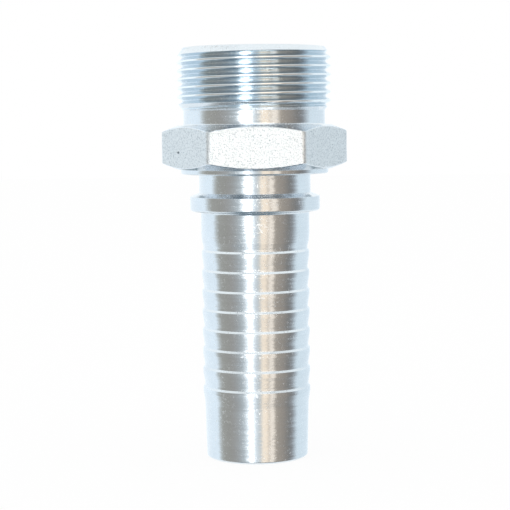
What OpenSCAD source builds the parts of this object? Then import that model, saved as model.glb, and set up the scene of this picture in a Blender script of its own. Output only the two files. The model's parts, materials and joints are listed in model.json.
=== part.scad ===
// Crimp hose fitting: a one-piece male hose insert in plated steel.
// One blank is forged with its hexagon and turned over both ends. The upper end has a
// metric thread round a 24 degree cone seat for a tube. The lower end is the ribbed tail
// that a hydraulic hose is pushed over. The crimped ferrule that would grip the hose hooks
// into the groove under the hexagon and is not part of this piece.
// Units are millimetres. The axis is Z, the thread is up, a flat of the hexagon faces -Y,
// and the origin is the centre of the tail's end face, on which the fitting stands.

/* [Thread] */
// Nominal thread diameter
thread_d = 36; // [34:0.5:37]
// Thread pitch
thread_pitch = 2; // [1:0.25:2.5]
// How much the crests are turned under the nominal diameter
crest_allowance = 0.15; // [0:0.05:0.4]
// Length of the threaded end, from the undercut to the top face
thread_len = 14.65; // [8:0.05:24]
// How far the top face's edge lies inside the thread's root
lead_in_below = 0.2; // [0.1:0.05:1]
// Angle of the lead-in chamfer to the axis
lead_in_angle = 33; // [20:1:60]
// Angle of the chamfer behind the last turn, to the axis
run_out_angle = 38; // [25:1:60]
// How far the undercut lies inside the thread's root
undercut_below = 0.27; // [0.05:0.01:1]
// Length of the undercut, from the hexagon to the run-out chamfer
undercut_len = 3.35; // [2.6:0.05:8]
// Fillet where the undercut meets the hexagon
undercut_fillet = 0.5; // [0.1:0.1:1.2]

/* [Cone seat and bore] */
// Included angle of the cone seat
cone_angle = 24; // [16:1:40]
// Diameter of the cone at the top face
cone_mouth_d = 27.9; // [26:0.1:29.5]
// Bore that takes the end of the tube
tube_socket_d = 25; // [23.5:0.1:25.5]
// Depth of the tube stop below the top face
tube_stop_depth = 12; // [9:0.1:18]
// Bore that the oil flows through
flow_bore_d = 20; // [12:0.1:20.5]
// Chamfer of the bore at the tail's end
bore_chamfer = 0.5; // [0.1:0.1:0.8]

/* [Hexagon] */
// Width across the flats
hex_af = 37.8; // [37:0.1:46]
// Height of the hexagon
hex_h = 10.2; // [6:0.1:20]
// Radius of the six upright edges
hex_edge_r = 1.5; // [0.3:0.1:3]
// Diameter of the flat ring inside each turned chamfer
hex_face_d = 36; // [34.8:0.1:36.6]
// Angle of the turned chamfers to the face
hex_chamfer_angle = 22; // [10:1:40]

/* [Collar and ferrule groove] */
// Diameter of the collar under the hexagon
collar_d = 34.4; // [32:0.1:35]
// Height of the collar
collar_h = 1.1; // [0.6:0.1:4]
// Edge radius of the collar
collar_edge_r = 0.4; // [0.1:0.1:0.5]
// Diameter at the bottom of the ferrule groove
groove_d = 26.05; // [24:0.05:28]
// Width of the ferrule groove
groove_w = 4.45; // [3:0.05:9]
// Fillet at the groove's bottom, under the collar
groove_fillet = 0.3; // [0.1:0.1:0.8]

/* [Holding ring] */
// Diameter of the ring that the ferrule hooks behind
ring_d = 30.35; // [29:0.05:32]
// Height of the ring at the groove's bottom, with its sloped top
ring_h = 4.25; // [3:0.05:8]
// Slope of the ring's top to the horizontal
ring_top_angle = 21; // [5:1:35]
// Radius of the ring's lower edge
ring_edge_r = 0.7; // [0.1:0.1:1.1]

/* [Hose tail] */
// Diameter of the plain part under the ring
tail_d = 25.35; // [24.6:0.05:27.6]
// Fillet where the plain part meets the ring
tail_fillet = 0.65; // [0.1:0.05:1]
// Length of the plain part
plain_len = 5.25; // [2:0.05:12]
// Diameter where the plain part's slight taper ends
shoulder_d = 25.05; // [24.5:0.05:27]
// Length of that slight taper
shoulder_len = 1.8; // [0.5:0.1:5]
// Length of the run down to the first valley
relief_len = 1.3; // [0.5:0.1:4]
// Number of ribs
rib_count = 8; // [2:1:12]
// Distance from rib to rib
rib_pitch = 4.57; // [4.1:0.01:6]
// Diameter over the ribs
rib_d = 25.2; // [24.6:0.05:27.5]
// Diameter of the valleys between the ribs
valley_d = 24.4; // [22.5:0.05:24.5]
// Height of a rib's steep face, on the side of the hexagon
rib_rise = 0.45; // [0.1:0.05:1]
// Width of a rib's land
rib_land = 1; // [0.2:0.1:1.4]
// Length of a rib's taper towards the tail's end
rib_taper = 2.55; // [1:0.05:2.6]
// Length of the plain nose below the last rib
nose_len = 13; // [3:0.1:25]
// Diameter of the nose at its end
nose_end_d = 23.7; // [23:0.05:24.3]
// Radius of the nose's outer edge
nose_edge_r = 0.7; // [0.1:0.1:0.9]

/* [Hidden] */
$fn = 96;
cut_past = 1;
fillet_steps = 5;
turn_steps = 60;

// An external metric thread is 0.6134 pitches deep from the nominal diameter. Its crests
// are an eighth of a pitch wide there, and its flanks stand 30 degrees off square.
depth_in_pitches = 0.6134;
crests_in_pitch = 8;
flank_angle = 30;
thread_depth = depth_in_pitches * thread_pitch;
thread_r = (thread_d - crest_allowance) / 2;
root_r = thread_d / 2 - thread_depth;
root_flat = thread_pitch * (1 - 1 / crests_in_pitch) - 2 * thread_depth * tan(flank_angle);
// The groove's cutter reaches this share of the pitch past the crests.
cutter_past = 0.06;
tool_r = thread_r + cutter_past * thread_pitch;
tool_w = root_flat + 2 * (tool_r - root_r) * tan(flank_angle);
// Angle, counted from +X, at which the crests stand at whole pitches below the top face
crest_angle = 73;
lead_in_r = root_r - lead_in_below;
undercut_r = root_r - undercut_below;

// Heights, stacked up from the tail's end
rib_len = rib_rise + rib_land + rib_taper;
ribs_top = nose_len + (rib_count - 1) * rib_pitch + rib_len;
valley_top = ribs_top + rib_pitch - rib_len;
shoulder_z = valley_top + relief_len;
plain_z = shoulder_z + shoulder_len;
ring_z = plain_z + plain_len;
groove_z = ring_z + ring_h;
collar_z = groove_z + groove_w;
hex_z = collar_z + collar_h;
hex_top = hex_z + hex_h;
undercut_top = hex_top + undercut_len;
top_z = undercut_top + thread_len;

hex_corner_r = hex_af / 2 / cos(30);
ring_drop = (ring_d - groove_d) / 2 * tan(ring_top_angle);
cone_depth = (cone_mouth_d - tube_socket_d) / 2 / tan(cone_angle / 2);

// Points [radius, height] along a round of radius r about centre [cr, cz], from angle a to b
function round_points(cr, cz, r, a, b) = [
    for (i = [0 : fillet_steps])
        let (t = a + (b - a) * i / fillet_steps)
            [cr + r * cos(t), cz + r * sin(t)]
];

// Rib number i, from its lower valley up its taper, over its land and down its steep face
function rib_points(i) = let (z = nose_len + i * rib_pitch) [
    [valley_d / 2, z],
    [rib_d / 2, z + rib_taper],
    [rib_d / 2, z + rib_taper + rib_land],
    [valley_d / 2, z + rib_len]
];

// The turned outline from the tail's end up to the top face, right of the axis
tail_outline = concat(
    [[0, 0]],
    round_points(nose_end_d / 2 - nose_edge_r, nose_edge_r, nose_edge_r, -90, 0),
    [for (i = [0 : rib_count - 1]) each rib_points(i)],
    [
        [valley_d / 2, valley_top],
        [shoulder_d / 2, shoulder_z],
        [tail_d / 2, plain_z]
    ],
    round_points(tail_d / 2 + tail_fillet, ring_z - tail_fillet, tail_fillet, 180, 90),
    round_points(ring_d / 2 - ring_edge_r, ring_z + ring_edge_r, ring_edge_r, -90, 0),
    [
        [ring_d / 2, groove_z - ring_drop],
        [groove_d / 2, groove_z]
    ]
);
groove_outline = concat(
    round_points(groove_d / 2 + groove_fillet, collar_z - groove_fillet, groove_fillet, 180, 90),
    round_points(collar_d / 2 - collar_edge_r, collar_z + collar_edge_r, collar_edge_r, -90, 0),
    [[collar_d / 2, hex_z + hex_h / 2]]
);
thread_outline = concat(
    [[undercut_r + undercut_fillet, hex_z + hex_h / 2]],
    round_points(undercut_r + undercut_fillet, hex_top + undercut_fillet, undercut_fillet, 270, 180),
    [
        [undercut_r, undercut_top],
        [thread_r, undercut_top + (thread_r - undercut_r) / tan(run_out_angle)],
        [thread_r, top_z - (thread_r - lead_in_r) / tan(lead_in_angle)],
        [lead_in_r, top_z],
        [0, top_z]
    ]
);

// Everything that the lathe turns outside
module turned_blank() {
    rotate_extrude()
        polygon(concat(tail_outline, groove_outline, thread_outline));
}

// The forged hexagon with rounded upright edges, between two turned chamfers
module hexagon() {
    edge_at = hex_corner_r - hex_edge_r / cos(30);
    face_drop = (hex_corner_r - hex_face_d / 2) * tan(hex_chamfer_angle);
    intersection() {
        translate([0, 0, hex_z])
            linear_extrude(hex_h) {
                polygon([
                    for (i = [0 : 5])
                        for (side = [-1, 1])
                            let (flat = 60 * i + 30 * side)
                                edge_at * [cos(60 * i), sin(60 * i)]
                                + hex_edge_r * [cos(flat), sin(flat)]
                ]);
                for (i = [0 : 5])
                    rotate(60 * i)
                        translate([edge_at, 0])
                            circle(hex_edge_r);
            }
        rotate_extrude()
            polygon([
                [0, hex_z],
                [hex_face_d / 2, hex_z],
                [hex_corner_r, hex_z + face_drop],
                [hex_corner_r, hex_top - face_drop],
                [hex_face_d / 2, hex_top],
                [0, hex_top]
            ]);
    }
}

// Cone seat, tube socket and flow bore, as one turned cut
module oil_passage() {
    widen = cut_past * tan(cone_angle / 2);
    rotate_extrude()
        polygon([
            [0, -cut_past],
            [flow_bore_d / 2 + bore_chamfer + cut_past, -cut_past],
            [flow_bore_d / 2, bore_chamfer],
            [flow_bore_d / 2, top_z - tube_stop_depth],
            [tube_socket_d / 2, top_z - tube_stop_depth],
            [tube_socket_d / 2, top_z - cone_depth],
            [cone_mouth_d / 2 + widen, top_z + cut_past],
            [0, top_z + cut_past]
        ]);
}

// The helical groove between the crests, swept from the undercut out past the top face
module thread_groove() {
    step_z = thread_pitch / turn_steps;
    groove_top_z = top_z - thread_pitch / 2;
    first = floor((undercut_top - tool_w / 2 - groove_top_z) / step_z);
    final = ceil((top_z + tool_w / 2 - groove_top_z) / step_z);
    section = [
        [root_r, -root_flat / 2],
        [tool_r, -tool_w / 2],
        [tool_r, tool_w / 2],
        [root_r, root_flat / 2]
    ];
    corners = len(section);
    path = [
        for (i = [first : final])
            let (a = crest_angle + 360 * i / turn_steps, z = groove_top_z + step_z * i)
                for (p = section)
                    [p[0] * cos(a), p[0] * sin(a), z + p[1]]
    ];
    sides = [
        for (i = [0 : final - first - 1])
            for (k = [0 : corners - 1])
                let (m = (k + 1) % corners, here = corners * i, ahead = here + corners)
                    each [
                        [here + k, here + m, ahead + m],
                        [here + k, ahead + m, ahead + k]
                    ]
    ];
    start_cap = [for (k = [corners - 1 : -1 : 0]) k];
    end_cap = [for (k = [0 : corners - 1]) len(path) - corners + k];
    polyhedron(path, concat(sides, [start_cap, end_cap]));
}

// The whole fitting, which is one piece of steel
module hose_fitting() {
    color("silver")
        difference() {
            union() {
                turned_blank();
                hexagon();
            }
            oil_passage();
            thread_groove();
        }
}

hose_fitting();
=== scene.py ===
# %% [markdown]
# # A hydraulic hose insert in zinc-plated steel
#
# The real object is one piece of steel. It is forged with its hexagon, then turned on a
# lathe over both ends, threaded, and plated with zinc. This lesson rebuilds what a camera
# sees of it: the turned outline, the blasted flats, the cut thread and their finishes.
# The packed CAD model is the frame, so the dressed piece stands exactly where it stands.

import json
import math

import bpy
import numpy as np
from mathutils import Matrix, Vector, noise


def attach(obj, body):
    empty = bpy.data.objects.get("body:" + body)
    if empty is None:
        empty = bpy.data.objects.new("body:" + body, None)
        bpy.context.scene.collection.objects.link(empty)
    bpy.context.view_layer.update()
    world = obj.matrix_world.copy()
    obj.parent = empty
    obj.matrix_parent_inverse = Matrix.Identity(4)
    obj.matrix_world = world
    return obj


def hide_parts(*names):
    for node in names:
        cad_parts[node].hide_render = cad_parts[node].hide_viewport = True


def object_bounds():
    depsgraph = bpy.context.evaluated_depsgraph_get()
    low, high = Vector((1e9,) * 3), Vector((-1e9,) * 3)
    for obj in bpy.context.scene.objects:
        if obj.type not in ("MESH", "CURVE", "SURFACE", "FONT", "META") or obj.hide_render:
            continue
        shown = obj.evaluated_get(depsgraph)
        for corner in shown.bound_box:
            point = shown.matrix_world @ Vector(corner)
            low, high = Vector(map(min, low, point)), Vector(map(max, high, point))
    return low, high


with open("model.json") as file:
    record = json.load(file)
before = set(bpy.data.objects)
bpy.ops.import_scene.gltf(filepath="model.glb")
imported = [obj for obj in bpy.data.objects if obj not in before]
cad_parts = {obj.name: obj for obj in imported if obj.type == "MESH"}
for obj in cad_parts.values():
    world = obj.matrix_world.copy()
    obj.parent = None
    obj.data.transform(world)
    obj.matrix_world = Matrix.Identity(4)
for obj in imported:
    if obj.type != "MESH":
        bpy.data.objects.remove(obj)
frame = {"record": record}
cad_low, cad_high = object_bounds()
print("CAD box in millimetres:", [round(1000 * side, 2) for side in cad_high - cad_low])

# %% [markdown]
# ## Sizes
#
# A maker's drawing gives sizes in millimetres, so the outline is worked out in millimetres
# and becomes metres only when a mesh is made. The bores come from the mounts of the packed
# record, and the overall height from the frame, so there the two models can't drift apart.
# The other sizes are written down again, from the thread and the photo.

# %% Read the mounts
MM = 0.001
mounts = {mount["name"]: mount for mount in frame["record"]["mounts"]}
top_z = cad_high.z / MM
flow_bore_r = mounts["flow_bore"]["dims"]["r_mm"]
tube_socket_r = mounts["tube_socket"]["dims"]["r_mm"]
print(f"height {top_z:.2f}, bore {2 * flow_bore_r:.1f}, tube socket {2 * tube_socket_r:.1f}")

# %% Sizes of the hose tail, from its end up to the groove
nose_end_r = 23.7 / 2
nose_edge = 0.7
nose_len = 13
rib_count = 8
rib_pitch = 4.57
rib_r = 25.2 / 2
valley_r = 24.4 / 2
rib_taper = 2.55  # height over which a rib widens
rib_land = 1  # height of its plain top
rib_rise = 0.5  # height of the step back to the valley
relief_len = 1.3
shoulder_r = 25.05 / 2
shoulder_len = 1.8
tail_r = 25.35 / 2
plain_len = 5.25
tail_fillet = 0.65
ring_r = 30.35 / 2
ring_h = 4.25
ring_edge = 0.7
ring_top_slope = math.tan(math.radians(21))
groove_r = 26.05 / 2
groove_w = 4.45
last_rib_z = nose_len + (rib_count - 1) * rib_pitch
ring_z = last_rib_z + rib_pitch + relief_len + shoulder_len + plain_len
collar_z = ring_z + ring_h + groove_w
print(f"ring at {ring_z:.2f}, collar at {collar_z:.2f}")

# %% Sizes of the collar and the hexagon
collar_r = 34.4 / 2
collar_h = 1.1
hex_z = collar_z + collar_h
hex_h = 10.2
hex_top = hex_z + hex_h
hex_flat_r = 37.8 / 2
hex_edge = 1.5
hex_face_r = 36 / 2
hex_chamfer_slope = math.tan(math.radians(22))
print(f"hexagon from {hex_z:.2f} to {hex_top:.2f}")

# %% Sizes of the threaded end
pitch = 2
thread_depth = 0.6134 * pitch
thread_r = 35.85 / 2
root_r = 36 / 2 - thread_depth
undercut_r = root_r - 0.27
undercut_top = hex_top + 3.35
lead_in_r = root_r - 0.2
lead_in_slope = math.tan(math.radians(33))
lead_in_z = top_z - (thread_r - lead_in_r) / lead_in_slope
run_out_slope = math.tan(math.radians(38))
run_out_z = undercut_top + (thread_r - undercut_r) / run_out_slope
cone_mouth_r = 27.9 / 2
cone_slope = math.tan(math.radians(12))
cone_end_z = top_z - (cone_mouth_r - tube_socket_r) / cone_slope
tube_stop_z = top_z - 12
print(f"full thread from {run_out_z:.2f} to {lead_in_z:.2f}, tube stop at {tube_stop_z:.2f}")

# %% [markdown]
# ## The turned outline
#
# A lathe makes every section round, so one outline, spun about the axis, gives the whole
# blank. Blender's Screw modifier would spin it too. Here the points are placed in code,
# because the hexagon interrupts the round sections and has to join them without a seam.
# Nothing turned has a truly sharp edge, so each corner of the outline names its rounding.

# %% Round the corners of an outline
arc_step = 14


def rounded(corners):
    """Outline points through corners (radius, height, rounding), with arcs at the corners."""
    points = []
    for i, (r, z, rounding) in enumerate(corners):
        here = np.array([r, z], float)
        if rounding == 0 or i in (0, len(corners) - 1):
            points.append(here)
            continue
        back = np.array(corners[i - 1][:2]) - here
        ahead = np.array(corners[i + 1][:2]) - here
        back /= np.linalg.norm(back)
        ahead /= np.linalg.norm(ahead)
        turn = math.pi - math.acos(float(np.clip(back @ ahead, -1, 1)))
        reach = rounding * math.tan(turn / 2)
        inward = (back + ahead) / np.linalg.norm(back + ahead)
        centre = here + inward * rounding / math.cos(turn / 2)
        steps = max(2, math.ceil(math.degrees(turn) / arc_step))
        start = here + back * reach - centre
        end = here + ahead * reach - centre
        for k in range(steps + 1):
            share = k / steps
            spoke = start * math.sin((1 - share) * turn) + end * math.sin(share * turn)
            points.append(centre + spoke / math.sin(turn))
    return points


square_corner = [(0, 0, 0), (1, 0, 0.2), (1, 1, 0)]
print(f"a square corner becomes an arc of {len(rounded(square_corner)) - 2} points")

# %% Outline of the nose and the ribs
sharp, soft = 0.08, 0.2
bore_chamfer = 0.5
tail = [
    (flow_bore_r, bore_chamfer, 0),
    (flow_bore_r + bore_chamfer, 0, sharp),
    (nose_end_r, 0, nose_edge),
]
for rib in range(rib_count):
    z = nose_len + rib * rib_pitch
    tail += [
        (valley_r, z, soft),
        (rib_r, z + rib_taper, soft),
        (rib_r, z + rib_taper + rib_land, sharp),
        (valley_r, z + rib_taper + rib_land + rib_rise, sharp),
    ]
print(f"{len(tail)} corners up to the last rib")

# %% Outline of the plain part, the ring and the collar
ring_rim_edge, ring_top_corner = 0.12, 0.15
groove_corner = 0.3
collar_edge, collar_top_edge = 0.4, 0.1
shoulder_z = last_rib_z + rib_pitch + relief_len
tail += [
    (valley_r, last_rib_z + rib_pitch, soft),
    (shoulder_r, shoulder_z, soft),
    (tail_r, shoulder_z + shoulder_len, soft),
    (tail_r, ring_z, tail_fillet),
    (ring_r, ring_z, ring_edge),
    (ring_r, ring_z + ring_h - (ring_r - groove_r) * ring_top_slope, ring_rim_edge),
    (groove_r, ring_z + ring_h, ring_top_corner),
    (groove_r, collar_z, groove_corner),
    (collar_r, collar_z, collar_edge),
    (collar_r, hex_z, collar_top_edge),
    (hex_face_r, hex_z, 0),
]
tail_outline = rounded(tail)
print(f"{len(tail_outline)} outline points from the bore's chamfer up to the hexagon")

# %% Outline of the threaded end and of the oil passage
undercut_fillet, undercut_edge = 0.5, 0.1
thread_edge, top_edge = 0.05, 0.12
mouth_edge, cone_end_blend = 0.1, 0.3
stop_corner, stop_edge = 0.15, 0.1
threaded_end = [
    (hex_face_r, hex_top, 0),
    (undercut_r, hex_top, undercut_fillet),
    (undercut_r, undercut_top, undercut_edge),
    (thread_r, run_out_z, thread_edge),
    (thread_r, lead_in_z, thread_edge),
    (lead_in_r, top_z, top_edge),
    (cone_mouth_r, top_z, mouth_edge),
    (tube_socket_r, cone_end_z, cone_end_blend),
    (tube_socket_r, tube_stop_z, stop_corner),
    (flow_bore_r, tube_stop_z, stop_edge),
    (flow_bore_r, bore_chamfer, 0),
]
thread_outline = rounded(threaded_end)
print(f"{len(thread_outline)} outline points from the hexagon up and back down the bore")

# %% [markdown]
# ## Columns round the axis
#
# All sections share one set of columns, like the staves of a barrel. The hexagon decides
# where they stand: its upright edges are rounded over only four degrees, so columns crowd
# there and spread over the flats.

# %% Place the columns
sixth, half_sixth = math.radians(60), math.radians(30)
edge_centre_r = (hex_flat_r - hex_edge) / math.cos(half_sixth)
edge_half_angle = math.atan2(
    hex_edge * math.sin(half_sixth), edge_centre_r + hex_edge * math.cos(half_sixth)
)
edge_columns, flat_columns = 10, 42
flat_end = sixth - edge_half_angle
over_edge = np.linspace(-edge_half_angle, edge_half_angle, edge_columns, endpoint=False)
over_flat = np.linspace(edge_half_angle, flat_end, flat_columns, endpoint=False)
sector = np.concatenate([over_edge, over_flat])
columns = np.concatenate([sector + sixth * side for side in range(6)])
print(f"{len(columns)} columns, edges over {math.degrees(2 * edge_half_angle):.1f} degrees")

# %% [markdown]
# ## The forged hexagon
#
# The flats are left as forged and shot-blasted, so they are slightly uneven, while both
# ends are turned to a cone. A Displace modifier could roughen the flats, but the turned
# cones must follow each uneven flat to its edge. So the height at which a flat ends is
# worked out from its own radius, column by column.


# %% Radius of the hexagon
def hexagon_radius(angles):
    """Distance from the axis to the rounded hexagon at each angle."""
    off_edge = (angles + half_sixth) % sixth - half_sixth
    flat = hex_flat_r / np.cos(half_sixth - np.abs(off_edge))
    across = edge_centre_r * np.sin(off_edge)
    edge = edge_centre_r * np.cos(off_edge) + np.sqrt(np.maximum(hex_edge**2 - across**2, 0))
    return np.where(np.abs(off_edge) < edge_half_angle, edge, flat)


smooth_r = hexagon_radius(columns)
print(f"{2 * smooth_r.min():.2f} over the flats, {2 * smooth_r.max():.2f} over the edges")

# %% Unevenness that forging and blasting leave, and one nick
forged_wave, forged_wave_size, forged_sink = 0.05, 3.2, 0.5
blast_dimple, blast_dimple_size = 0.022, 0.8
nick_angle, nick_z = math.radians(-158), 71.75
nick_half_len, nick_half_h, nick_depth = 0.6, 0.3, 0.16


def forged(angles, heights):
    """How far the forged surface lies outside the true hexagon, in millimetres."""
    radii = hexagon_radius(angles)
    out = np.zeros(len(angles))
    for i, (r, a, z) in enumerate(zip(radii, angles, heights)):
        at = Vector((r * math.cos(a), r * math.sin(a), z))
        out[i] = forged_wave * (noise.noise(at / forged_wave_size) - forged_sink)
        out[i] += blast_dimple * noise.noise(at / blast_dimple_size)
        along = r * (a - nick_angle % (2 * math.pi)) / nick_half_len
        out[i] -= nick_depth * math.exp(-(along**2) - ((z - nick_z) / nick_half_h) ** 2)
    return out


halfway = forged(columns, np.full(len(columns), (hex_z + hex_top) / 2))
print(f"off the true hexagon halfway up: {halfway.min():.3f} to {halfway.max():.3f} mm")

# %% Rows of the forged flats
flat_rows = 26
edge_break = 0.13
flat_low = hex_z + (smooth_r - hex_face_r) * hex_chamfer_slope
flat_high = hex_top - (smooth_r - hex_face_r) * hex_chamfer_slope
hexagon_rows = []
for share in np.linspace(0, 1, flat_rows):
    heights = flat_low + edge_break + (flat_high - flat_low - 2 * edge_break) * share
    hexagon_rows.append([smooth_r + forged(columns, heights), heights])
print(f"{flat_rows} rows over flats that are {(flat_high - flat_low).max():.2f} high at most")

# %% Rows of the whole blank
cone_shares = (0.33, 0.66)
cone_rim_gap = 0.8 * edge_break


def round_row(r, z):
    """A row that is a circle: the same radius and height in every column."""
    return np.full(len(columns), r), np.full(len(columns), z)


def cone_rows(rim, face_z, upwards):
    """Three rows of a turned cone, out from its flat ring to the rim of the forged flats."""
    radii = [hex_face_r + (rim - hex_face_r) * share for share in cone_shares]
    radii.append(rim - cone_rim_gap)
    return [[r, face_z + upwards * (r - hex_face_r) * hex_chamfer_slope] for r in radii]


lower_cone = cone_rows(hexagon_rows[0][0], hex_z, 1)
upper_cone = cone_rows(hexagon_rows[-1][0], hex_top, -1)
rows = [round_row(r, z) for r, z in tail_outline] + lower_cone
first_flat_row = len(rows)
rows += hexagon_rows + upper_cone[::-1]
rows += [round_row(r, z) for r, z in thread_outline[:-1]]
last_flat_row = first_flat_row + flat_rows - 1
print(f"{len(rows)} rows, the flats from row {first_flat_row} to {last_flat_row}")

# %% [markdown]
# ## One closed mesh
#
# The outline ends where it began, at the bore's lower chamfer, so rows and columns both
# close on themselves. The result is a tube-like skin of four-sided faces with no open edge,
# which is what a Boolean needs to tell inside from outside. Each face is told its finish
# here, because the rows still say which tool made it.

# %% Make a mesh with three finishes
TURNED, BLASTED, THREADED = 0, 1, 2
finish_names = ("turned_zinc", "blasted_zinc", "threaded_zinc")
steel_finishes = [bpy.data.materials.new(name) for name in finish_names]


def mesh_object(name, points, faces, finishes):
    """A smooth-shaded object from points in millimetres, with a finish number per face."""
    mesh = bpy.data.meshes.new(name)
    mesh.from_pydata([tuple(MM * c for c in p) for p in points], [], faces)
    for finish in steel_finishes:
        mesh.materials.append(finish)
    mesh.polygons.foreach_set("use_smooth", [True] * len(faces))
    mesh.polygons.foreach_set("material_index", finishes)
    mesh.update()
    thing = bpy.data.objects.new(name, mesh)
    bpy.context.scene.collection.objects.link(thing)
    return thing


print("finishes to come:", ", ".join(finish_names))


# %% Build the blank
def row_finish(j):
    """The finish of the faces between row j and the next."""
    r, z = rows[j][0][0], rows[j][1][0]
    if first_flat_row <= j < last_flat_row:
        return BLASTED
    if undercut_top <= z < lead_in_z and r > lead_in_r:
        return THREADED
    return TURNED


def turned_blank():
    """The whole fitting before its thread is cut."""
    count = len(columns)
    points, faces, finishes = [], [], []
    for r, z in rows:
        points += list(zip(r * np.cos(columns), r * np.sin(columns), z))
    for j in range(len(rows)):
        above = (j + 1) % len(rows)
        for i in range(count):
            k = (i + 1) % count
            faces.append([j * count + i, j * count + k, above * count + k, above * count + i])
        finishes += [row_finish(j)] * count
    return mesh_object("hose_insert", points, faces, finishes)


fitting = turned_blank()
print(f"blank: {len(fitting.data.polygons)} faces")

# %% [markdown]
# ## Cutting the thread
#
# A real thread is cut by a tool that follows a helix, and a Boolean does the same: the
# tool's section, swept along the helix, is taken out of the blank. The crests that remain
# run out by themselves on both chamfers, as on the real piece. A Screw modifier would make
# the helix too, but not those run-outs.

# %% Section of the thread cutter
flank_slope = math.tan(half_sixth)
root_half = (pitch * 7 / 8 - 2 * thread_depth * flank_slope) / 2
crest_half = root_half + (thread_r - root_r) * flank_slope
root_flat_share, root_bend_share = 0.35, 0.85
root_bend, root_blend = 0.04, 0.14
crest_break, crest_lip = 0.05, 0.01
tool_past = 0.2


def cutter_section():
    """The cutter's section as (radius, height), with a rounded root and broken crests."""
    upper = [
        (root_r, root_half * root_flat_share),
        (root_r + root_bend, root_half * root_bend_share),
        (root_r + root_blend, root_half + root_blend * flank_slope),
        (thread_r - crest_break, crest_half - crest_break * flank_slope),
        (thread_r + crest_lip, crest_half + crest_break),
        (thread_r + tool_past, crest_half + crest_break + tool_past / 2),
    ]
    return [(r, -z) for r, z in upper[::-1]] + upper


print(f"the groove is {2 * root_half:.2f} wide at its root, {2 * crest_half:.2f} at the crests")

# %% Sweep the cutter along its helix
crest_angle = math.radians(73)
cutter_steps = 156
overrun = 1.2


def thread_cutter():
    """A closed helical bar, swept from the undercut out past the top face."""
    section = cutter_section()
    corners = len(section)
    helix_top = top_z - pitch / 2
    first = math.floor((undercut_top - overrun - helix_top) / pitch * cutter_steps)
    final = math.ceil((pitch / 2 + overrun) / pitch * cutter_steps)
    points = []
    for i in range(first, final + 1):
        angle = crest_angle + 2 * math.pi * i / cutter_steps
        z = helix_top + pitch * i / cutter_steps
        points += [(r * math.cos(angle), r * math.sin(angle), z + dz) for r, dz in section]
    faces = []
    for i in range(final - first):
        here, ahead = corners * i, corners * (i + 1)
        for k in range(corners):
            m = (k + 1) % corners
            faces.append([here + k, here + m, ahead + m, ahead + k])
    faces.append(list(range(corners))[::-1])
    faces.append([len(points) - corners + k for k in range(corners)])
    return mesh_object("thread_cutter", points, faces, [THREADED] * len(faces))


cutter = thread_cutter()
print(f"cutter: {len(cutter.data.polygons)} faces")


# %% Cut the thread
def cut(blank, tool):
    """Takes the tool out of the blank and removes the tool."""
    boolean = blank.modifiers.new("cut_thread", "BOOLEAN")
    boolean.object = tool
    boolean.operation = "DIFFERENCE"
    boolean.solver = "MANIFOLD"
    boolean.material_mode = "INDEX"
    graph = bpy.context.evaluated_depsgraph_get()
    made = bpy.data.meshes.new_from_object(blank.evaluated_get(graph))
    blank.modifiers.clear()
    blank.data = made
    bpy.data.objects.remove(tool)


cut(fitting, cutter)
fitting.data.name = "hose_insert"
triangles = sum(len(p.vertices) - 2 for p in fitting.data.polygons)
print(f"hose insert: {triangles} triangles")

# %% [markdown]
# ## Edges, and the place in the frame
#
# Light breaks where two cuts of the tool meet, and flows over what is rounded. Smooth
# shading alone would smear the crests of the thread, and splitting every edge would show
# the facets. So only edges that bend by more than 18 degrees are marked sharp, and a
# Weighted Normal modifier lets the large faces set the shading of the small ones. The
# piece then rides on the CAD model's root body and takes the place of its one node.

# %% Shade the edges and put the piece in the CAD model's place
sharp_angle = math.radians(18)
fitting.data.set_sharp_from_angle(angle=sharp_angle)
weighted = fitting.modifiers.new("even_shading", "WEIGHTED_NORMAL")
weighted.keep_sharp = True
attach(fitting, "root")
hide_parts("hose_fitting")
sharp_edges = sum(edge.use_edge_sharp for edge in fitting.data.edges)
print(f"{sharp_edges} sharp edges")

# %% [markdown]
# ## Three finishes of one plating
#
# The zinc layer is the same all over. What differs is the steel under it: smooth with fine
# rings where a lathe tool passed, and dimpled where the forging was only blasted. On the
# thread, handling has rubbed the crests. A few colours are painted light: painted shade in
# the dimples, in the nick and on the upper flanks, and a painted highlight along the crests.
# Pictures of metal could be wrapped round the piece. Noise worked out in the piece's own
# coordinates is used here, because it has no seam and stays as fine on the ring as on the
# tail. A Principled shader with Metallic at 1 takes the noise as bump, and as slight
# changes of colour and roughness.


# %% A helper that adds nodes and joins them
class Nodes:
    """Adds nodes to a tree and joins them, so that a finish reads as a few lines."""

    def __init__(self, tree):
        self.tree = tree

    def add(self, kind, inputs=None, **settings):
        """A node with its settings. An input is a socket to join, a number or a colour."""
        node = self.tree.nodes.new(kind)
        for name, value in settings.items():
            setattr(node, name, value)
        for name, value in (inputs or {}).items():
            socket = node.inputs[name]
            if isinstance(value, bpy.types.NodeSocket):
                self.tree.links.new(value, socket)
            elif socket.type == "RGBA":
                socket.default_value = (*value, 1)
            else:
                socket.default_value = value
        return node

    def join(self, value, node, socket):
        self.tree.links.new(value, node.inputs[socket])

    def math(self, operation, a, b=0.0):
        return self.add("ShaderNodeMath", {0: a, 1: b}, operation=operation).outputs[0]


print("basic nodes:", ", ".join(name for name in vars(Nodes) if name[0] != "_"))


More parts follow.
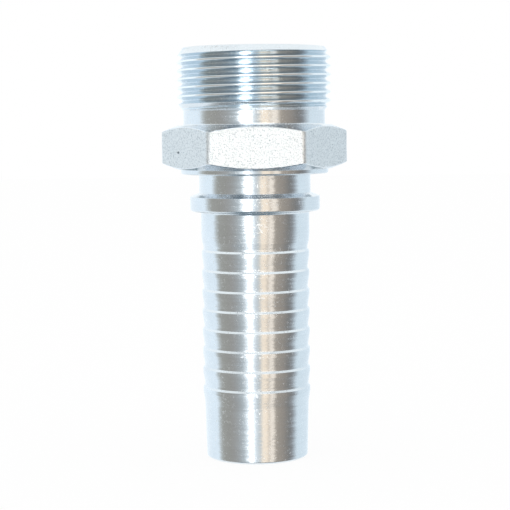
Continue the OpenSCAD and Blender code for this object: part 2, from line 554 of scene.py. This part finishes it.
# %% The same for fades of a number
class NumberNodes(Nodes):
    """Also adds nodes that multiply, move and fade numbers."""

    def product(self, *factors):
        """All factors multiplied together."""
        whole = factors[0]
        for factor in factors[1:]:
            whole = self.math("MULTIPLY", whole, factor)
        return whole

    def span(self, value, low, high, first, last):
        """A value between low and high, moved to between first and last."""
        inputs = {"Value": value, "From Min": low, "From Max": high}
        inputs |= {"To Min": first, "To Max": last}
        return self.add("ShaderNodeMapRange", inputs).outputs[0]

    def smooth(self, value, low, high):
        """Rises softly from 0 to 1 as the value passes from low to high."""
        inputs = {"Value": value, "From Min": low, "From Max": high}
        node = self.add("ShaderNodeMapRange", inputs, interpolation_type="SMOOTHSTEP")
        return node.outputs[0]

    def falling(self, value, low, high):
        """Falls softly from 1 to 0 as the value passes from low to high."""
        return self.math("SUBTRACT", 1, self.smooth(value, low, high))


print("number nodes:", ", ".join(name for name in vars(NumberNodes) if name[0] != "_"))


# %% The same for vectors and colours
class ColourNodes(NumberNodes):
    """Also adds nodes for vectors and colours."""

    def vector(self, operation, inputs, output="Vector"):
        return self.add("ShaderNodeVectorMath", inputs, operation=operation).outputs[output]

    def plus(self, first, second):
        return self.vector("ADD", {0: first, 1: second})

    def scale(self, vector, factor):
        return self.vector("SCALE", {0: vector, "Scale": factor})

    def length(self, vector):
        return self.vector("LENGTH", {0: vector}, "Value")

    def combine(self, x, y, z=0.0):
        return self.add("ShaderNodeCombineXYZ", {0: x, 1: y, 2: z}).outputs[0]

    def parts(self, vector):
        return self.add("ShaderNodeSeparateXYZ", {0: vector}).outputs

    def axis_distance(self, place):
        """How far a point lies from the axis."""
        x, y, _ = self.parts(place)
        return self.length(self.combine(x, y))

    def mix(self, factor, first, second):
        """The first colour where the factor is 0, and the second where it is 1."""
        inputs = {"Fac": factor, "Color1": first, "Color2": second}
        return self.add("ShaderNodeMixRGB", inputs).outputs["Color"]

    def ramp(self, factor, stops):
        """A colour ramp through stops (place, colour)."""
        node = self.add("ShaderNodeValToRGB", {"Fac": factor})
        elements = node.color_ramp.elements
        while len(elements) < len(stops):
            elements.new(0.5)
        for element, (place, colour) in zip(elements, stops):
            element.position = place
            element.color = (*colour, 1)
        return node.outputs["Color"]


print("colour nodes:", ", ".join(name for name in vars(ColourNodes) if name[0] != "_"))


# %% The nodes of a metal finish
class SteelNodes(ColourNodes):
    """The nodes of a bare metal, with noise placed by the object's own coordinates."""

    def __init__(self, material):
        material.use_nodes = True
        super().__init__(material.node_tree)
        self.steel = material.node_tree.nodes["Principled BSDF"]
        self.steel.inputs["Metallic"].default_value = 1
        self.place = self.add("ShaderNodeTexCoord").outputs["Object"]

    def put(self, socket, value):
        """Joins a value to an input of the Principled shader."""
        self.join(value, self.steel, socket)

    def noise(self, scale, detail, place=None):
        inputs = {"Vector": place or self.place, "Scale": scale, "Detail": detail}
        return self.add("ShaderNodeTexNoise", inputs).outputs["Fac"]

    def spread(self, noise, first, last):
        """A noise, which seldom leaves 0.3 to 0.7, spread from first to last."""
        return self.span(noise, 0.3, 0.7, first, last)

    def bump(self, height, depth, under=None):
        """A bump as deep as depth, in millimetres, laid over another normal."""
        inputs = {"Height": height, "Distance": depth * MM}
        if under:
            inputs["Normal"] = under
        return self.add("ShaderNodeBump", inputs).outputs[0]


print("steel nodes:", ", ".join(name for name in vars(SteelNodes) if name[0] != "_"))

# %% Colours of the plating, with painted shade and painted highlight
ZINC = (0.77, 0.81, 0.85)
SCUFF = (0.85, 0.88, 0.91)
# painted shade: the upper flanks of the thread get a darker colour than the lower ones
UPPER_FLANK_SHADE = (0.60, 0.667, 0.72)
LOWER_FLANK = (0.74, 0.825, 0.89)
# rubbed wear on crests and flecks, and along the crests partly a painted highlight
CREST_WEAR_AND_HIGHLIGHT = (0.93, 0.96, 0.98)
BRIGHT = (0.89, 0.92, 0.94)
# painted shade in the dimples that face away
PIT_SHADE = (0.54, 0.59, 0.625)
# painted shadow in the nick on the left flat
NICK_SHADOW = (0.16, 0.19, 0.22)
print("zinc, from red to blue:", ZINC)

# %% [markdown]
# ### Turned steel
#
# A lathe leaves rings that are too fine to see one by one. They show in three ways: they
# stretch each reflection along the axis, they fray the edges of reflections into short
# level streaks, and some of them are duller than others. Real rings in the mesh would need
# millions of faces. So the shader's Anisotropic setting stretches the reflections, and a
# noise that changes fast along the outline and slowly round the axis does the rest, as a
# bump, as a small sideways swing of the normal and as roughness.

# %% Lathe rings in the shading
ring_fineness, ring_streak = 2200, 80
grain_fineness = 2600
ring_depth = 0.004
swing_reach = 0.02
highlight_stretch, stretch_turn = 0.6, 0.25


def stretch_highlight(nodes):
    """Widens reflections along the axis."""
    nodes.steel.inputs["Anisotropic"].default_value = highlight_stretch
    nodes.steel.inputs["Anisotropic Rotation"].default_value = stretch_turn
    tangent = nodes.add("ShaderNodeTangent", direction_type="RADIAL", axis="Z")
    nodes.put("Tangent", tangent.outputs[0])


def swung_normal(nodes, x, y, rings):
    """The surface's own normal, swung a little sideways by every ring."""
    round_axis = nodes.combine(nodes.math("MULTIPLY", y, -1), x)
    sideways = nodes.vector("NORMALIZE", {0: round_axis})
    swing = nodes.scale(sideways, nodes.spread(rings, -swing_reach, swing_reach))
    normal = nodes.add("ShaderNodeNewGeometry").outputs["Normal"]
    return nodes.vector("NORMALIZE", {0: nodes.plus(normal, swing)})


def turned_relief(nodes, grain_depth):
    """Gives a finish its lathe rings and fine grain, and hands back both noises."""
    x, y, z = nodes.parts(nodes.place)
    outwards = nodes.math("ADD", z, nodes.axis_distance(nodes.place))
    rings_at = nodes.combine(
        nodes.math("MULTIPLY", x, ring_streak),
        nodes.math("MULTIPLY", y, ring_streak),
        nodes.math("MULTIPLY", outwards, ring_fineness),
    )
    rings = nodes.noise(1, 4, rings_at)
    grain = nodes.noise(grain_fineness, 2)
    relief = nodes.bump(rings, ring_depth, swung_normal(nodes, x, y, rings))
    nodes.put("Normal", nodes.bump(grain, grain_depth, relief))
    stretch_highlight(nodes)
    return rings, grain


print(f"{ring_fineness * MM:.1f} broad rings a millimetre, with finer ones between them")

# %% Turned finish
scuff_fineness = 1700
cloud_fineness, wear_fineness = 260, 170
scuff_from, scuff_full, scuff_worn = 0.59, 0.69, 0.035
turned_grain_depth = 0.006
ring_tone, grain_tone, cloud_tone = (0.97, 1.02), (0.975, 1.025), (0.97, 1.02)
ring_dullness, cloud_dullness = (-0.07, 0.09), (0.135, 0.185)
scuff_dullness = 0.24


def turned_finish(material):
    """Plated steel with fine lathe rings, cloudy places and pale scuffs."""
    nodes = SteelNodes(material)
    rings, grain = turned_relief(nodes, turned_grain_depth)
    clouds = nodes.noise(cloud_fineness, 4)
    worn = nodes.spread(nodes.noise(wear_fineness, 2), -scuff_worn, scuff_worn)
    scuffs = nodes.math("ADD", nodes.noise(scuff_fineness, 3), worn)
    scuffs = nodes.smooth(scuffs, scuff_from, scuff_full)
    tone = nodes.product(
        nodes.spread(rings, *ring_tone),
        nodes.spread(grain, *grain_tone),
        nodes.spread(clouds, *cloud_tone),
    )
    nodes.put("Base Color", nodes.scale(nodes.mix(scuffs, ZINC, SCUFF), tone))
    scuffed = nodes.math("MULTIPLY", scuffs, scuff_dullness)
    dull = nodes.math("ADD", scuffed, nodes.spread(rings, *ring_dullness))
    nodes.put("Roughness", nodes.math("ADD", nodes.spread(clouds, *cloud_dullness), dull))


turned_finish(steel_finishes[TURNED])
print(f"turned finish: {len(steel_finishes[TURNED].node_tree.nodes)} nodes")

# %% [markdown]
# ### Threaded steel
#
# The flanks of a thread mirror each other before they mirror the room, so they look darker
# than plain steel by themselves. What is added is wear and painted light: crests and flecks
# rubbed bright and a little dull, the crests' brightness partly a painted highlight, and
# upper flanks darkened as painted shade. The radius tells where the crests are, and the
# normal tells an upper flank from a lower one, so the wear and the painted light follow the
# helix without a mask.

# %% Threaded finish
crest_from, crest_full = thread_r - 0.14, thread_r - 0.03
fleck_from, fleck_full = 0.64, 0.70
flank_blend = 0.4
threaded_grain_depth = 0.008
flank_dullness, rubbed_dullness = 0.13, 0.2


def threaded_finish(material):
    """Turned flanks with painted shade on their upper side, between rubbed crests with a
    painted highlight.
    """
    nodes = SteelNodes(material)
    turned_relief(nodes, threaded_grain_depth)
    radius = nodes.axis_distance(nodes.place)
    crest = nodes.smooth(radius, crest_from * MM, crest_full * MM)
    flecks = nodes.smooth(nodes.noise(scuff_fineness, 3), fleck_from, fleck_full)
    # wear on crests and flecks; the brighter crest colour is partly a painted highlight
    worn_and_highlit = nodes.math("MAXIMUM", crest, flecks)
    upwards = nodes.parts(nodes.add("ShaderNodeTexCoord").outputs["Normal"])[2]
    # painted shade: flanks that face upwards get the darker colour
    upper = nodes.smooth(upwards, -flank_blend, flank_blend)
    flank = nodes.mix(upper, LOWER_FLANK, UPPER_FLANK_SHADE)
    nodes.put("Base Color", nodes.mix(worn_and_highlit, flank, CREST_WEAR_AND_HIGHLIGHT))
    nodes.put("Roughness", nodes.span(worn_and_highlit, 0, 1, flank_dullness, rubbed_dullness))


threaded_finish(steel_finishes[THREADED])
print(f"threaded finish: {len(steel_finishes[THREADED].node_tree.nodes)} nodes")

# %% [markdown]
# ### Blasted steel
#
# Shot has hammered the flats into tiny dimples, each a few tenths of a millimetre wide.
# They make the flats dull and sparkling at once: bright all over, with dark points where a
# dimple faces away. Two sizes of noise, added together, give both the bump and the dark
# points, which are painted shade in the colour. The one nick on the left flat is a dent in
# the mesh, and a painted shadow gives it its dark colour here.

# %% Blasted finish
peel_fineness, dimple_fineness = 2600, 4800
peel_share, dimple_share = 0.55, 0.45
dimple_depth = 0.17
pit_below, bright_above = 0.33, 0.53
blasted_dullness = 0.5
nick_flat_angle = math.radians(-150)
nick_r = hex_flat_r / math.cos(nick_angle - nick_flat_angle)
nick_at = Vector((nick_r * math.cos(nick_angle), nick_r * math.sin(nick_angle), nick_z)) * MM
nick_dark_r, nick_clear_r = 0.5 * nick_half_len, 1.2 * nick_half_len


def blasted_finish(material):
    """Plated steel over a shot-blasted forging, dull and dimpled like orange peel."""
    nodes = SteelNodes(material)
    dimples = nodes.math(
        "ADD",
        nodes.math("MULTIPLY", nodes.noise(peel_fineness, 3), peel_share),
        nodes.math("MULTIPLY", nodes.noise(dimple_fineness, 1), dimple_share),
    )
    nodes.put("Normal", nodes.bump(dimples, dimple_depth))
    # painted shade: dimples that face away are coloured darker
    peen_with_shade = nodes.mix(nodes.smooth(dimples, pit_below, bright_above), PIT_SHADE, BRIGHT)
    # painted shadow in the nick, fading out over a small oval round it
    away = nodes.vector("SUBTRACT", {0: nodes.place, 1: tuple(nick_at)})
    away = nodes.vector("MULTIPLY", {0: away, 1: (1, 1, nick_half_len / nick_half_h)})
    clear = nodes.smooth(nodes.length(away), nick_dark_r * MM, nick_clear_r * MM)
    nodes.put("Base Color", nodes.mix(clear, NICK_SHADOW, peen_with_shade))
    nodes.steel.inputs["Roughness"].default_value = blasted_dullness


blasted_finish(steel_finishes[BLASTED])
print(f"blasted finish: {len(steel_finishes[BLASTED].node_tree.nodes)} nodes")

# %% [markdown]
# ## Studio
#
# Polished metal has hardly a colour of its own: it shows the room. So the room is made
# first, as the metal sees it: a white backdrop behind the piece, dim warm walls beside the
# camera, a narrow window close to its left, two warm panels to its right, and a pale
# ceiling and table. The window is brightest above the camera, where the thread shows it. A
# pale panel above the camera lights the front flat, and steeper directions in front are
# dim, because the rounded edges show a dark line there. Cards and lamps could stand there
# instead. A world painted by direction is used here, because each band then lies at the
# angle at which the metal shows its edge, and it stays in place when the piece is looked at
# from other sides.
#
# An upright round surface shows a direction twice as far round as it faces. So a stop at
# 40 degrees in the list below is seen where the steel faces 20 degrees to the right.

# %% Light round the horizon
# Direction in degrees round the axis from the camera, positive to the right: light there.
room_bands = [
    (-180, (1.02, 1.08, 1.12)),
    (-125, (0.94, 1.04, 1.11)),
    (-101, (0.94, 1.04, 1.11)),
    (-93, (0.60, 0.63, 0.62)),
    (-85, (0.42, 0.415, 0.38)),
    (-66, (0.385, 0.375, 0.345)),
    (-55, (0.40, 0.39, 0.37)),
    (-44, (0.44, 0.45, 0.445)),
    (-32, (0.56, 0.61, 0.63)),
    (-25, (0.90, 0.96, 0.98)),
    (-20, (1.22, 1.28, 1.31)),
    (-16.5, (2.20, 2.25, 2.30)),
    (-13.5, (2.60, 2.65, 2.70)),
    (-10, (1.30, 1.34, 1.36)),
    (-5, (0.90, 0.96, 0.99)),
    (1, (0.72, 0.77, 0.79)),
    (7, (0.74, 0.73, 0.69)),
    (11, (1.19, 1.01, 0.81)),
    (21, (1.17, 0.98, 0.78)),
    (24, (0.80, 0.69, 0.57)),
    (26, (0.80, 0.69, 0.57)),
    (29, (1.12, 0.99, 0.85)),
    (36, (1.10, 0.97, 0.83)),
    (41, (0.46, 0.40, 0.335)),
    (60, (0.36, 0.32, 0.28)),
    (75, (0.25, 0.245, 0.235)),
    (84, (0.31, 0.32, 0.33)),
    (92, (0.54, 0.60, 0.64)),
    (100, (0.80, 0.91, 0.97)),
    (150, (0.84, 0.94, 1.01)),
    (180, (1.02, 1.08, 1.12)),
]
print(f"{len(room_bands)} stops round the horizon")

# %% The window, brightest above the camera
# Each fade below is a pair: where the light starts to change, and where it has changed.
window = (3.7, 3.6, 3.5)
window_heading = math.radians(-15)
window_side = math.radians(5), math.radians(13)
window_bottom = 0, 0.03
window_top = 0.15, 0.25


def off_heading(nodes, heading, middle):
    """How far a heading lies from a middle one, on either side."""
    return nodes.math("ABSOLUTE", nodes.math("SUBTRACT", heading, middle))


def level_light(nodes, heading, z):
    """What upright surfaces show: the bands, and the bright part of the window."""
    share = nodes.span(heading, -math.pi, math.pi, 0, 1)
    bands = nodes.ramp(share, [((a + 180) / 360, colour) for a, colour in room_bands])
    pane = nodes.product(
        nodes.smooth(z, *window_bottom),
        nodes.falling(z, *window_top),
        nodes.falling(off_heading(nodes, heading, window_heading), *window_side),
    )
    return nodes.plus(bands, nodes.scale(window, pane))


print(f"window at {math.degrees(window_heading):.0f} degrees")

# %% Ceiling, table and far wall
ceiling = (1.08, 1.12, 1.12)
far_wall = (0.58, 0.69, 0.77)
table = (0.98, 1.04, 1.07)
shade = (0.23, 0.30, 0.34)
far_wall_side = 0.34, 0.56
far_wall_back = 0.3, 0.7
shade_side = 0.3, 0.7


def sloped_light(nodes, x, y, z, height):
    """What chamfers and fillets show: the ceiling above, and the table below."""
    aside = nodes.math("DIVIDE", nodes.math("ABSOLUTE", x), height)
    behind = nodes.smooth(nodes.math("DIVIDE", y, height), *far_wall_back)
    far_above = nodes.product(nodes.falling(aside, *far_wall_side), behind)
    above = nodes.mix(far_above, ceiling, far_wall)
    below = nodes.mix(nodes.falling(aside, *shade_side), table, shade)
    return nodes.mix(nodes.math("GREATER_THAN", z, 0), below, above)


print("ceiling", ceiling, "and table", table)

# %% The whole room
dim_corner = (0.15, 0.21, 0.255)
corner_height = 0.52, 0.62
corner_top = 0.74, 0.84
corner_front = 0.3, 0.45
front_panel = (3.0, 3.0, 2.95)
panel_heading = math.radians(6)
panel_side = math.radians(22), math.radians(34)
panel_bottom = 0.27, 0.35
panel_top = 0.5, 0.57
steep_lean = 0.42, 0.62
steep_height = 0.22, 0.34
least_height, least_side = 0.05, 0.001  # these keep the divisions finite


def metal_room(nodes, x, y, z):
    """The colour of the room in the direction x, y, z.

    The slope is that of a surface which mirrors this direction to a level camera in front.
    """
    front = nodes.math("MULTIPLY", y, -1)
    heading = nodes.math("ARCTAN2", x, front)
    height = nodes.math("MAXIMUM", nodes.math("ABSOLUTE", z), least_height)
    side = nodes.length(nodes.combine(x, nodes.math("ADD", front, 1)))
    slope = nodes.math("DIVIDE", z, nodes.math("MAXIMUM", side, least_side))
    lean = nodes.math("ABSOLUTE", slope)
    steep = nodes.product(nodes.smooth(lean, *steep_lean), nodes.smooth(height, *steep_height))
    level = level_light(nodes, heading, z)
    room = nodes.mix(steep, level, sloped_light(nodes, x, y, z, height))
    corner = nodes.product(
        nodes.smooth(height, *corner_height),
        nodes.falling(z, *corner_top),
        nodes.smooth(front, *corner_front),
    )
    panel = nodes.product(
        nodes.smooth(z, *panel_bottom),
        nodes.falling(z, *panel_top),
        nodes.falling(off_heading(nodes, heading, panel_heading), *panel_side),
    )
    return nodes.plus(nodes.mix(corner, room, dim_corner), nodes.scale(front_panel, panel))


print("front panel", front_panel, "under a dim corner", dim_corner)

# %% [markdown]
# ### One world for three kinds of rays
#
# The photo has a plain white ground, while the metal shows a room, so the world answers
# each kind of ray differently. The Light Path node tells them apart: camera rays see white,
# and so would rays through something clear. Glossy rays see the room, and the rest get an
# even soft light. A white card behind the piece would do for the camera, but the metal
# would mirror it.

# %% World
even_light = (1, 1, 1)
plain_white = (1, 1, 1)


def studio_world():
    """A room that glossy rays see, plain white for the camera, and soft light for the rest."""
    world = bpy.data.worlds.new("studio")
    bpy.context.scene.world = world
    world.use_nodes = True
    nodes = ColourNodes(world.node_tree)
    direction = nodes.add("ShaderNodeTexCoord").outputs["Generated"]
    room = metal_room(nodes, *nodes.parts(direction))
    rays = nodes.add("ShaderNodeLightPath").outputs
    plain = nodes.math("MAXIMUM", rays["Is Camera Ray"], rays["Is Transmission Ray"])
    lit = nodes.mix(rays["Is Glossy Ray"], even_light, room)
    background = world.node_tree.nodes["Background"]
    nodes.join(nodes.mix(plain, lit, plain_white), background, "Color")
    background.inputs["Strength"].default_value = 1
    return world


world = studio_world()
print(f"world: {len(world.node_tree.nodes)} nodes")

# %% [markdown]
# ## Lamp and floor
#
# A product photo is lit softly from above, and its paper floor is so bright that only a
# breath of shadow is left where the piece stands. A square area lamp gives that light. It
# is hidden from glossy rays, because its mirror image is already painted in the room. The
# floor could be a shadow catcher. Here it is paper that glows for the camera, which keeps
# the picture's ground white. Glossy rays see it only close under the piece.

# %% Overhead lamp
lamp_side, lamp_radiance = 0.4, 0.6
lamp_distance = 0.7
lamp_azimuth, lamp_elevation = math.radians(-20), math.radians(70)


def overhead_lamp():
    """A square lamp that faces the middle of the fitting and isn't mirrored in it."""
    light = bpy.data.lights.new("overhead_softbox", "AREA")
    light.shape = "RECTANGLE"
    light.size = lamp_side
    light.size_y = lamp_side
    light.energy = lamp_radiance * math.pi * lamp_side * lamp_side
    lamp = bpy.data.objects.new("overhead_softbox", light)
    bpy.context.scene.collection.objects.link(lamp)
    level = math.cos(lamp_elevation)
    away = Vector((math.sin(lamp_azimuth) * level, -math.cos(lamp_azimuth) * level, 0))
    away.z = math.sin(lamp_elevation)
    lamp.location = Vector((0, 0, cad_high.z / 2)) + away * lamp_distance
    lamp.rotation_mode = "QUATERNION"
    lamp.rotation_quaternion = away.to_track_quat("Z", "Y")
    lamp.visible_glossy = False
    return lamp


overhead = overhead_lamp()
print(f"overhead lamp: {overhead.data.energy:.2f} watts")

# %% Floor
floor_reach, floor_drop = 2, 0.02
paper_white = (0.92, 0.92, 0.92)
mirrored_paper = (1.08, 1.1, 1.1)
camera_glow = 0.92
mirrored_floor_r = 12.1  # glossy rays see the floor only this close to the axis


def paper_nodes(nodes):
    """Glowing paper for the camera, and for glossy rays only a disc under the piece."""
    rays = nodes.add("ShaderNodeLightPath").outputs
    paper = nodes.add("ShaderNodeBsdfDiffuse", {"Color": paper_white}).outputs[0]
    glow = nodes.add("ShaderNodeEmission", {"Color": plain_white, "Strength": 1}).outputs[0]
    share = nodes.math("MULTIPLY", rays["Is Camera Ray"], camera_glow)
    seen = nodes.add("ShaderNodeMixShader", {0: share, 1: paper, 2: glow}).outputs[0]
    place = nodes.add("ShaderNodeTexCoord").outputs["Object"]
    far = nodes.math("GREATER_THAN", nodes.axis_distance(place), mirrored_floor_r * MM)
    disc = nodes.add("ShaderNodeEmission", {"Color": mirrored_paper}).outputs[0]
    clear = nodes.add("ShaderNodeBsdfTransparent").outputs[0]
    mirrored = nodes.add("ShaderNodeMixShader", {0: far, 1: disc, 2: clear}).outputs[0]
    by_ray = {0: rays["Is Glossy Ray"], 1: seen, 2: mirrored}
    surface = nodes.add("ShaderNodeMixShader", by_ray).outputs[0]
    nodes.join(surface, nodes.add("ShaderNodeOutputMaterial"), "Surface")


def white_floor():
    """A white floor that fades into the white world and keeps the piece's soft shadow."""
    a = floor_reach
    mesh = bpy.data.meshes.new("floor")
    mesh.from_pydata([(-a, -a, 0), (a, -a, 0), (a, a, 0), (-a, a, 0)], [], [(0, 1, 2, 3)])
    floor = bpy.data.objects.new("floor", mesh)
    bpy.context.scene.collection.objects.link(floor)
    floor.location.z = -floor_drop * MM
    material = bpy.data.materials.new("white_floor")
    material.use_nodes = True
    material.node_tree.nodes.clear()
    paper_nodes(ColourNodes(material.node_tree))
    mesh.materials.append(material)
    return floor


floor = white_floor()
print(f"floor: {2 * floor_reach} metres wide, {floor_drop} mm below the fitting")

# %% [markdown]
# ## Camera
#
# The perspective gives the camera's place: the hexagon's top is seen edge-on, so the camera
# stands as high as that, and the lowest ribs are seen from above. The picture could be
# aimed by tipping the camera alone. Part of it is done by shifting the lens instead, as an
# architect's camera does, so that the upright sides lean together less.

# %% Place the camera
camera_distance, camera_height = 0.385, 0.0786
camera_azimuth, camera_roll = math.radians(-1.2), math.radians(-0.58)
camera_tip = math.radians(3.94)
lens_shift = -0.0007, -0.0388
picture_width = 510
focal_pixels = 1645
sensor_width = 36


def studio_camera():
    """A camera level with the hexagon's top, tipped down to the middle of the fitting."""
    data = bpy.data.cameras.new("camera")
    data.sensor_width = sensor_width
    data.lens = focal_pixels / picture_width * sensor_width
    data.shift_x, data.shift_y = lens_shift
    camera = bpy.data.objects.new("camera", data)
    bpy.context.scene.collection.objects.link(camera)
    turn = Matrix.Rotation(camera_azimuth, 4, "Z")
    place = turn @ Matrix.Translation((0, -camera_distance, camera_height))
    look = Matrix.Rotation(math.radians(90) - camera_tip, 4, "X")
    camera.matrix_world = place @ look @ Matrix.Rotation(camera_roll, 4, "Z")
    bpy.context.scene.camera = camera
    return camera


camera = studio_camera()
print(f"lens of {camera.data.lens:.1f} mm at {1000 * camera_distance:.0f} mm")

# %% [markdown]
# ## Colour
#
# The Standard view shows the plating's colours as they are set.

# %% Show the colours as they are set
bpy.context.scene.view_settings.view_transform = "Standard"
